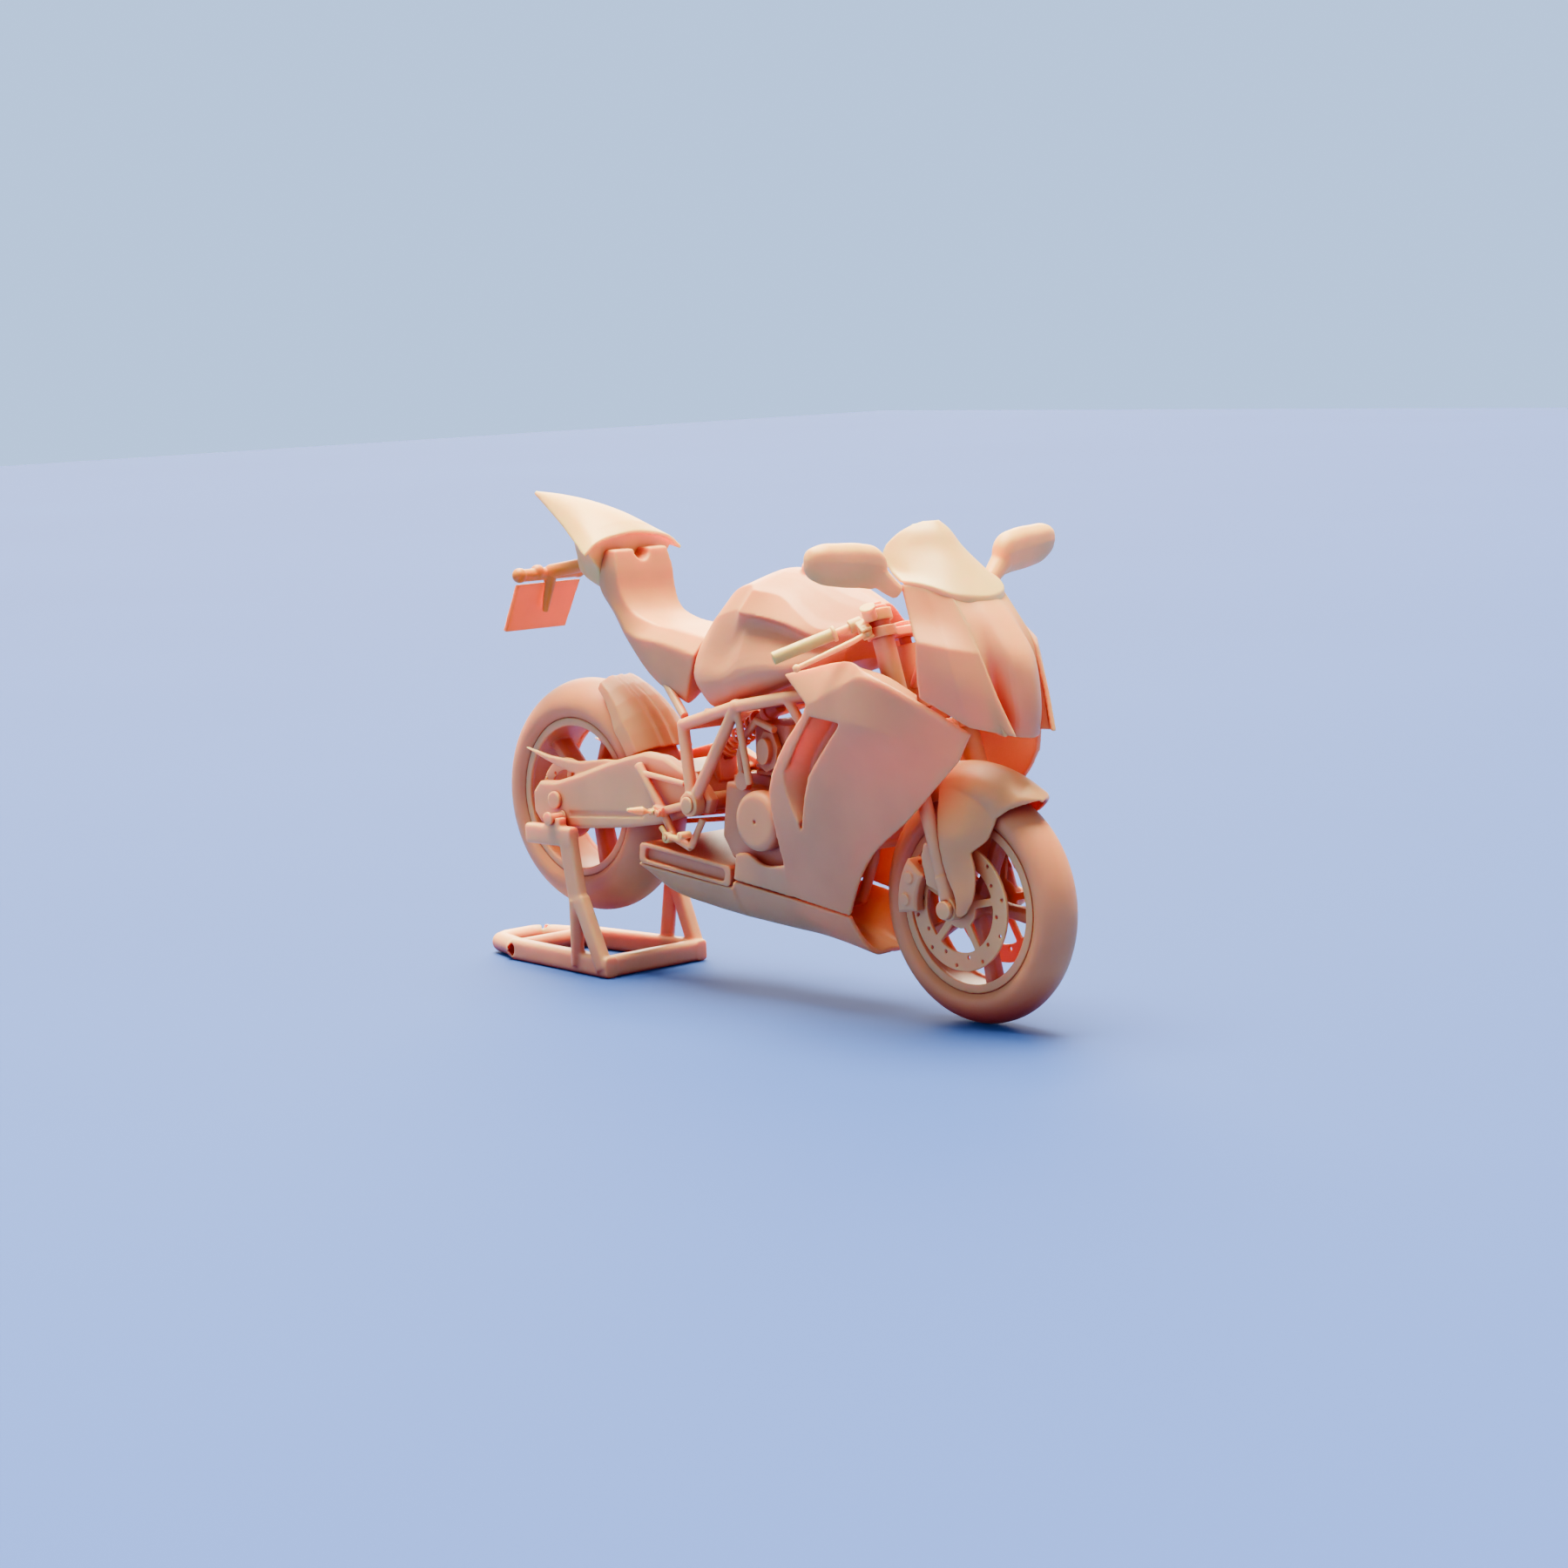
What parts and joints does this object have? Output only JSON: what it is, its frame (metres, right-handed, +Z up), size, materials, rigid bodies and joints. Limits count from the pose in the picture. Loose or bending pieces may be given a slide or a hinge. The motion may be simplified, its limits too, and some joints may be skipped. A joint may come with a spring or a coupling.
{
  "type": "motorcycle model",
  "caption": "Small display model of a faired sport motorcycle on a rear paddock stand, with turning wheels, steering, sprung fork and swingarm, folding pegs and moving controls.",
  "frame": {"origin": "on the ground plane below the middle of the whole model's box, stand included", "axes": "+X towards the front wheel, +Y to the machine's left, +Z up"},
  "size_m": [0.1792, 0.0712, 0.1079],
  "materials": {
    "body_resin": "satin translucent cast resin",
    "screen_resin": "satin translucent cast resin",
    "seat_resin": "satin translucent cast resin",
    "frame_resin": "satin translucent cast resin",
    "engine_resin": "satin translucent cast resin",
    "wheel_resin": "satin translucent cast resin",
    "tyre_resin": "satin translucent cast resin",
    "hardware_resin": "satin translucent cast resin",
    "control_resin": "satin translucent cast resin",
    "stand_resin": "satin translucent cast resin"
  },
  "bodies": {
    "chassis": {"main_frame": "frame_resin", "subframe": "frame_resin", "engine_block": "engine_resin", "cylinders": "engine_resin", "cam_covers": "engine_resin", "clutch_cover": "engine_resin", "left_engine_covers": "engine_resin", "water_pump": "engine_resin", "front_sprocket": "wheel_resin", "exhaust_silencer": "engine_resin", "exhaust_pipes": "engine_resin", "radiator": "engine_resin", "fuel_tank": "body_resin", "rider_seat": "seat_resin", "tail_cowl": "body_resin", "plate_bracket": "frame_resin", "number_plate": "body_resin", "side_fairing_left": "body_resin", "side_fairing_right": "body_resin", "belly_pan": "body_resin", "headlight_panels": "body_resin", "nose_panel": "body_resin", "windscreen": "screen_resin", "mirrors": "control_resin", "fairing_stay": "frame_resin", "rearset_brackets": "frame_resin", "pivot_axle": "hardware_resin", "shock_body": "hardware_resin"},
    "swingarm": {"swingarm": "frame_resin", "rear_axle": "hardware_resin", "swingarm_pins": "hardware_resin", "hugger": "body_resin", "chain": "wheel_resin"},
    "rear_wheel": {"rear_rim": "wheel_resin", "rear_tyre": "tyre_resin", "rear_disc": "wheel_resin", "rear_sprocket": "wheel_resin"},
    "steering": {"lower_yoke": "frame_resin", "upper_yoke": "frame_resin", "fork_tubes": "hardware_resin", "clip_ons": "control_resin", "left_grip": "control_resin", "lever_perches": "control_resin"},
    "fork": {"fork_legs": "hardware_resin", "front_axle": "hardware_resin", "front_calipers": "hardware_resin", "front_fender": "body_resin"},
    "front_wheel": {"front_rim": "wheel_resin", "front_tyre": "tyre_resin", "front_discs": "wheel_resin"},
    "throttle": {"throttle_grip": "control_resin"},
    "brake_lever": {"brake_lever": "control_resin"},
    "clutch_lever": {"clutch_lever": "control_resin"},
    "shock_lower": {"shock_rod": "hardware_resin", "shock_spring": "hardware_resin"},
    "footpeg_left": {"footpeg_left": "control_resin"},
    "footpeg_right": {"footpeg_right": "control_resin"},
    "gear_lever": {"gear_lever": "control_resin"},
    "brake_pedal": {"brake_pedal": "control_resin"},
    "stand": {"paddock_stand": "stand_resin"}
  },
  "joints": [
    {"name": "swingarm_pivot", "type": "hinge", "parent": "chassis", "child": "swingarm", "pos_m": [-0.00802, 0, 0.04174], "axis": [0, 1, 0], "range_deg": [0, 5], "stiffness_Nm_per_rad": 0.25, "springref_deg": -11.46},
    {"name": "rear_wheel_spin", "type": "hinge", "parent": "swingarm", "child": "rear_wheel", "pos_m": [-0.05655, 0, 0.0389], "axis": [0, 1, 0], "continuous": true},
    {"name": "stand_hinge", "type": "hinge", "parent": "swingarm", "child": "stand", "pos_m": [-0.05471, 0, 0.0352], "axis": [0, 1, 0], "range_deg": [0, 40]},
    {"name": "steering_head", "type": "hinge", "parent": "chassis", "child": "steering", "pos_m": [0.04656, 0, 0.07202], "axis": [-0.3047, 0, 0.9524], "range_deg": [-12, 12]},
    {"name": "fork_slide", "type": "slide", "parent": "steering", "child": "fork", "axis": [-0.3047, 0, 0.9524], "range_m": [0, 0.005], "stiffness_N_per_m": 150, "springref_m": -0.008},
    {"name": "front_wheel_spin", "type": "hinge", "parent": "fork", "child": "front_wheel", "pos_m": [0.06437, 0, 0.025], "axis": [0, 1, 0], "continuous": true},
    {"name": "throttle_twist", "type": "hinge", "parent": "steering", "child": "throttle", "pos_m": [0.04541, -0.0088, 0.08424], "axis": [-0.5082, -0.7966, -0.3273], "range_deg": [0, 70], "stiffness_Nm_per_rad": 0.0002, "springref_deg": -11.46},
    {"name": "clutch_lever_pull", "type": "hinge", "parent": "steering", "child": "clutch_lever", "pos_m": [0.04724, 0.0138, 0.0814], "axis": [0.0905, 0.4311, 0.8978], "range_deg": [0, 12], "stiffness_Nm_per_rad": 0.0005, "springref_deg": -11.46},
    {"name": "brake_lever_pull", "type": "hinge", "parent": "steering", "child": "brake_lever", "pos_m": [0.04724, -0.0138, 0.0814], "axis": [-0.0905, 0.4311, -0.8978], "range_deg": [0, 12], "stiffness_Nm_per_rad": 0.0005, "springref_deg": -11.46},
    {"name": "shock_slide", "type": "slide", "parent": "chassis", "child": "shock_lower", "axis": [0.8566, 0, 0.516], "range_m": [0, 0.0011], "deforming": ["shock_spring"]},
    {"name": "footpeg_left_fold", "type": "hinge", "parent": "chassis", "child": "footpeg_left", "pos_m": [-0.01778, 0.0171, 0.03961], "axis": [0.995, 0, -0.1003], "range_deg": [0, 45]},
    {"name": "footpeg_right_fold", "type": "hinge", "parent": "chassis", "child": "footpeg_right", "pos_m": [-0.01778, -0.0171, 0.03961], "axis": [-0.995, 0, 0.1003], "range_deg": [0, 45]},
    {"name": "gear_lever_pivot", "type": "hinge", "parent": "chassis", "child": "gear_lever", "pos_m": [-0.01451, 0.0162, 0.03416], "axis": [0, 1, 0], "range_deg": [-8, 8], "stiffness_Nm_per_rad": 0.0005},
    {"name": "brake_pedal_pivot", "type": "hinge", "parent": "chassis", "child": "brake_pedal", "pos_m": [-0.01451, -0.0162, 0.03416], "axis": [0, 1, 0], "range_deg": [0, 8], "stiffness_Nm_per_rad": 0.0005, "springref_deg": -11.46}
  ],
  "couplings": [
    {"joint": "shock_slide", "follows": "swingarm_pivot", "m_per_rad": 0.01102}
  ]
}
